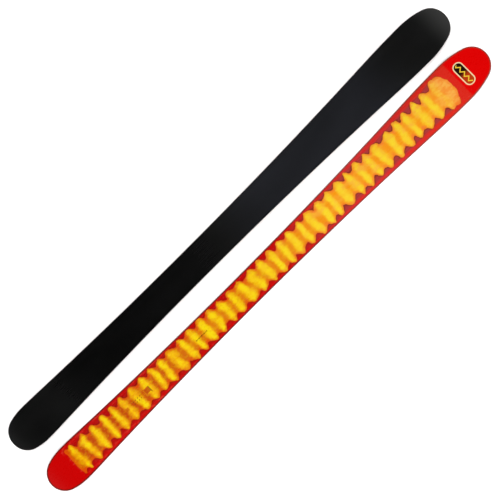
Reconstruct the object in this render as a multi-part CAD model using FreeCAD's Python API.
"""A pair of twin-tip alpine skis, bare of bindings, laid side by side on a floor.

Millimetres, +X towards the tips, +Z up. The origin is on the floor, midway between
the two skis. The right ski stands on its base with its topsheet up. The left ski is
the same ski turned over, so that its black base is up and it rests on the ends of
its tip and tail. Each ski is a sandwich of layers that follow one side profile and
one plan outline, both made of straight lines and tangent arcs.
"""

import FreeCAD, Part
import math
import os

from FreeCAD import Vector

# The ski seen from above
ski_length = 1710.0
tip_width = 129.8
waist_width = 91.0
tail_width = 115.0
tip_taper_length = 119.0
tail_taper_length = 87.0
tip_nose_inset = 9.9
tail_nose_inset = 4.9
waist_setback = 122.0
tip_side_radius = 3170.0
tail_side_radius = 1285.0

# The ski seen from the side
camber = 4.0
binding_flat_length = 460.0
binding_setback = 120.0
tip_contact_length = 355.0
tail_contact_length = 245.0
tip_upturn_length = 205.0
tail_upturn_length = 195.0
camber_share = 2 / 3
rocker_radius = 3500.0
end_rise = 54.0

# The layers, from the snow upwards
base_thickness = 1.4
edge_width = 2.0
edge_height = 2.0
anchor_width = 6.5
rubber_thickness = 0.3
lower_laminate_thickness = 0.7
core_end_thickness = 1.4
core_middle_thickness = 7.7
upper_laminate_thickness = 0.7
topsheet_thickness = 0.6

# What lies inside the outline
sidewall_width = 7.0
topsheet_inset = 1.5
stringer_width = 12.0
reinforcement_thickness = 0.8
reinforcement_width = 64.0
reinforcement_end_gap = 12.0
edge_tip_stop = 116.0
edge_tail_stop = 84.0

# The pair
gap_between_skis = 26.6

# Cutting stock, which only has to reach past the ski
run_out = 9.0
stock_half_width = 120.0
stock_depth = 30.0
stock_height = 160.0

half_length = ski_length / 2
lower_stack = edge_height + rubber_thickness + lower_laminate_thickness
ski_spacing = tip_width + gap_between_skis


def walk(place, piece):
    """The place and heading at the end of one piece of a path."""
    x, y, heading = place
    radius, amount = piece
    if radius is None:
        return x + amount * math.cos(heading), y + amount * math.sin(heading), heading
    turned = heading + math.copysign(amount, radius)
    x += radius * (math.sin(turned) - math.sin(heading))
    y -= radius * (math.cos(turned) - math.cos(heading))
    return x, y, turned


def arc_to(place, x, y):
    """The arc that leaves a place along its heading and ends at x, y."""
    dx = x - place[0]
    dy = y - place[1]
    forward = dx * math.cos(place[2]) + dy * math.sin(place[2])
    left = dy * math.cos(place[2]) - dx * math.sin(place[2])
    radius = (dx * dx + dy * dy) / (2 * left)
    return radius, 2 * math.atan2(abs(left), forward)


def double_bend(start, end):
    """Two tangent arcs that join two places and keep the heading of each."""
    vx = end[0] - start[0]
    vy = end[1] - start[1]
    tx = math.cos(start[2]) + math.cos(end[2])
    ty = math.sin(start[2]) + math.sin(end[2])
    along = vx * tx + vy * ty
    spread = 2 * (1 - math.cos(end[2] - start[2]))
    square = vx * vx + vy * vy
    reach = square / (along + math.sqrt(along * along + spread * square))
    meet_x = (start[0] + end[0] + reach * (math.cos(start[2]) - math.cos(end[2]))) / 2
    meet_y = (start[1] + end[1] + reach * (math.sin(start[2]) - math.sin(end[2]))) / 2
    first = arc_to(start, meet_x, meet_y)
    return [first, arc_to(walk(start, first), end[0], end[1])]


def level_bend(run, rise, first_radius=None, first_share=None):
    """Two tangent arcs that start and end level, a run apart, and rise in between."""
    radii = (run * run + rise * rise) / (2 * abs(rise))
    angle = 2 * math.atan2(abs(rise), run)
    first = first_radius if first_share is None else radii * first_share
    side = math.copysign(1, rise)
    return [(side * first, angle), (side * (first - radii), angle)]


class Path:
    """A smooth run of pieces in a plane.

    A piece is a signed radius and an angle, or None and a length where it is
    straight. A positive radius bends to the left of the way the path goes.
    """

    def __init__(self, start, pieces):
        self.start = start
        self.pieces = pieces

    def offset(self, distance):
        """The same path moved to its left, with every arc about the same centre."""
        x, y, heading = self.start
        x -= distance * math.sin(heading)
        y += distance * math.cos(heading)
        pieces = [(radius and radius - distance, amount) for radius, amount in self.pieces]
        return Path((x, y, heading), pieces)

    def places(self):
        """Where each piece starts, and where the last one ends."""
        found = [self.start]
        for piece in self.pieces:
            found.append(walk(found[-1], piece))
        return found

    def edges(self, to_space):
        """The pieces as edges, placed in space by a function of x and y."""
        made = []
        for place, piece in zip(self.places(), self.pieces):
            start = to_space(*place[:2])
            end = to_space(*walk(place, piece)[:2])
            if piece[0] is None:
                made.append(Part.LineSegment(start, end).toShape())
            else:
                middle = to_space(*walk(place, (piece[0], piece[1] / 2))[:2])
                made.append(Part.Arc(start, middle, end).toShape())
        return made


def half_profile(contact_run, rocker_run, upturn_run):
    """One half of the underside, walked away from the flat that carries the binding."""
    bend = level_bend(contact_run, -camber, first_share=camber_share)
    rocker = (rocker_radius, math.asin(rocker_run / rocker_radius))
    place = (0.0, camber, 0.0)
    for piece in bend + [rocker]:
        place = walk(place, piece)
    upturn = arc_to(place, place[0] + upturn_run, end_rise)
    return bend + [rocker, upturn, (None, run_out)]


def underside():
    """The snow side of the base, from the tail to the tip, with z up."""
    flat_start = -binding_setback - binding_flat_length / 2
    flat_end = flat_start + binding_flat_length
    tip = half_profile(
        half_length - tip_contact_length - flat_end,
        tip_contact_length - tip_upturn_length,
        tip_upturn_length,
    )
    tail = half_profile(
        flat_start + half_length - tail_contact_length,
        tail_contact_length - tail_upturn_length,
        tail_upturn_length,
    )
    far = (0.0, camber, 0.0)
    for piece in tail:
        far = walk(far, piece)
    start = (flat_start - far[0], far[1], -far[2])
    return Path(start, tail[::-1] + [(None, binding_flat_length)] + tip)


def core_top(snow_side):
    """The top of the core: thick over the flat, and thin from each upturn outwards."""
    thin = snow_side.offset(lower_stack + core_end_thickness)
    thin_places = thin.places()
    level = camber + lower_stack + core_middle_thickness
    flat_start = (-binding_setback - binding_flat_length / 2, level, 0.0)
    flat = (None, binding_flat_length)
    rear = double_bend(thin_places[2], flat_start)
    front = double_bend(walk(flat_start, flat), thin_places[-3])
    return Path(thin.start, thin.pieces[:2] + rear + [flat] + front + thin.pieces[-2:])


def half_outline():
    """The left side of the ski from above, from the end of the tail to the end of the tip."""

    def taper(half_width, length, nose_inset):
        nose_radius = half_width - nose_inset
        centre = length - nose_radius
        square = centre * centre + half_width * half_width - nose_radius * nose_radius
        shoulder_radius = square / (2 * nose_inset)
        angle = math.atan2(centre, shoulder_radius - half_width)
        return [(-shoulder_radius, angle), (-nose_radius, math.pi / 2 - angle)]

    tail = taper(tail_width / 2, tail_taper_length, tail_nose_inset)
    tip = taper(tip_width / 2, tip_taper_length, tip_nose_inset)
    tail_run = half_length - tail_taper_length - waist_setback
    tip_run = half_length - tip_taper_length + waist_setback
    rear = level_bend(tail_run, (waist_width - tail_width) / 2, first_radius=tail_side_radius)
    front = level_bend(tip_run, (waist_width - tip_width) / 2, first_radius=tip_side_radius)
    return Path((-half_length, 0.0, math.pi / 2), tail[::-1] + rear + front[::-1] + tip)


def column(inset):
    """An upright prism of the plan outline, taken in by an inset."""

    def on_floor(x, y):
        return Vector(x, y, -stock_depth)

    half = half_outline().offset(-inset)
    places = half.places()
    left = Part.Wire(half.edges(on_floor)[1:-1])
    right = left.mirror(Vector(0, 0, 0), Vector(0, 1, 0))
    noses = []
    for end, corner in ((places[0], places[1]), (places[-1], places[-2])):
        start = on_floor(corner[0], corner[1])
        finish = on_floor(corner[0], -corner[1])
        noses.append(Part.Arc(start, on_floor(end[0], end[1]), finish).toShape())
    face = Part.Face(Part.Wire(Part.__sortEdges__(left.Edges + right.Edges + noses)))
    return face.extrude(Vector(0, 0, stock_depth + stock_height))


def layer(low, high):
    """A sheet between two side profiles, wider than the ski."""

    def edges(path):
        return path.edges(lambda x, z: Vector(x, -stock_half_width, z))

    ends = []
    for index in (0, -1):
        below = Vector(low.places()[index][0], -stock_half_width, low.places()[index][1])
        above = Vector(high.places()[index][0], -stock_half_width, high.places()[index][1])
        ends.append(Part.LineSegment(below, above).toShape())
    wire = Part.Wire(Part.__sortEdges__(edges(low) + edges(high) + ends))
    return Part.Face(wire).extrude(Vector(0, 2 * stock_half_width, 0))


def block(x_from, x_to, y_from, y_to):
    """An upright block between two stations along the ski and two across it."""
    size = (x_to - x_from, y_to - y_from, stock_depth + stock_height)
    return Part.makeBox(*size, Vector(x_from, y_from, -stock_depth))


def band(x_from, x_to):
    """An upright block across the whole ski between two stations."""
    return block(x_from, x_to, -stock_half_width, stock_half_width)


def side_halves():
    """The blocks to the left and to the right of the centre line."""
    left = block(-ski_length, ski_length, 0, stock_half_width)
    right = block(-ski_length, ski_length, -stock_half_width, 0)
    return {"left": left, "right": right}


def make_ski():
    """Every piece of one ski, upright, on its own centre line."""
    snow = underside()
    anchor_foot = snow.offset(base_thickness)
    edge_top = snow.offset(edge_height)
    rubber_top = snow.offset(edge_height + rubber_thickness)
    core_foot = snow.offset(lower_stack)
    crown = core_top(snow)
    laminate_top = crown.offset(upper_laminate_thickness)
    print_side = laminate_top.offset(topsheet_thickness)

    outline = column(0)
    edge_run = band(-half_length + edge_tail_stop, half_length - edge_tip_stop)
    edge_rim = outline.cut(column(edge_width)).common(edge_run)
    anchor_rim = outline.cut(column(anchor_width)).common(edge_run)
    core_from = -half_length + tail_upturn_length
    core_to = half_length - tip_upturn_length
    core_run = band(core_from, core_to)
    core_column = column(sidewall_width)
    wall_rim = outline.cut(core_column).common(core_run)

    ski = {}
    ski["base"] = layer(snow, anchor_foot).common(outline).cut(edge_rim)
    steel = layer(snow, edge_top).common(edge_rim)
    steel = steel.fuse(layer(anchor_foot, edge_top).common(anchor_rim)).removeSplitter()
    rubber = layer(edge_top, rubber_top).common(anchor_rim)
    filling = layer(anchor_foot, core_foot).common(outline)
    ski["lower_laminate"] = filling.cut(layer(anchor_foot, rubber_top).common(anchor_rim))

    middle = layer(core_foot, crown)
    walls = middle.common(wall_rim)
    for side, half in side_halves().items():
        ski["steel_edge_" + side] = steel.common(half)
        ski["edge_rubber_" + side] = rubber.common(half)
        ski["sidewall_" + side] = walls.common(half)
    ski["tip_spacer"] = middle.common(outline).common(band(core_to, ski_length))
    ski["tail_spacer"] = middle.common(outline).common(band(-ski_length, core_from))

    flat_from = -binding_setback - binding_flat_length / 2 + reinforcement_end_gap
    flat_to = flat_from + binding_flat_length - 2 * reinforcement_end_gap
    seat = block(flat_from, flat_to, -reinforcement_width / 2, reinforcement_width / 2)
    plate = layer(crown.offset(-reinforcement_thickness), crown).common(seat)
    ski["binding_reinforcement"] = plate
    wood = middle.common(core_column).common(core_run).cut(plate)
    hard = Part.makeCompound(
        [
            block(core_from, core_to, side - stringer_width / 2, side + stringer_width / 2)
            for side in (-stringer_width, stringer_width)
        ]
    )
    ski["core_maple"] = wood.common(hard)
    ski["core_aspen"] = wood.cut(hard)

    ski["upper_laminate"] = layer(crown, laminate_top).common(outline)
    ski["topsheet"] = layer(laminate_top, print_side).common(column(topsheet_inset))
    return ski


def lay_out(ski):
    """The right ski on its base, and the left one turned over to rest on its two ends."""
    top = max(shape.optimalBoundingBox(False, False).ZMax for shape in ski.values())
    laid = {}
    for name, shape in ski.items():
        right = shape.copy()
        right.translate(Vector(0, -ski_spacing / 2, 0))
        laid["right_ski_" + name] = right
        left = shape.copy()
        left.rotate(Vector(0, 0, 0), Vector(1, 0, 0), 180)
        left.translate(Vector(0, ski_spacing / 2, top))
        laid["left_ski_" + name] = left
    return laid


def main():
    os.makedirs("parts", exist_ok=True)
    for name, shape in lay_out(make_ski()).items():
        solids = shape.Solids
        node = solids[0] if len(solids) == 1 else Part.makeCompound(solids)
        node.exportStep(f"parts/{name}.step")
        box = node.optimalBoundingBox(False, False)
        print(
            f"{name}: {len(solids)} solid(s), {node.Volume / 1000:.1f} cm3,"
            f" x {box.XMin:.1f} to {box.XMax:.1f}, y {box.YMin:.1f} to {box.YMax:.1f},"
            f" z {box.ZMin:.2f} to {box.ZMax:.2f}"
        )


main()
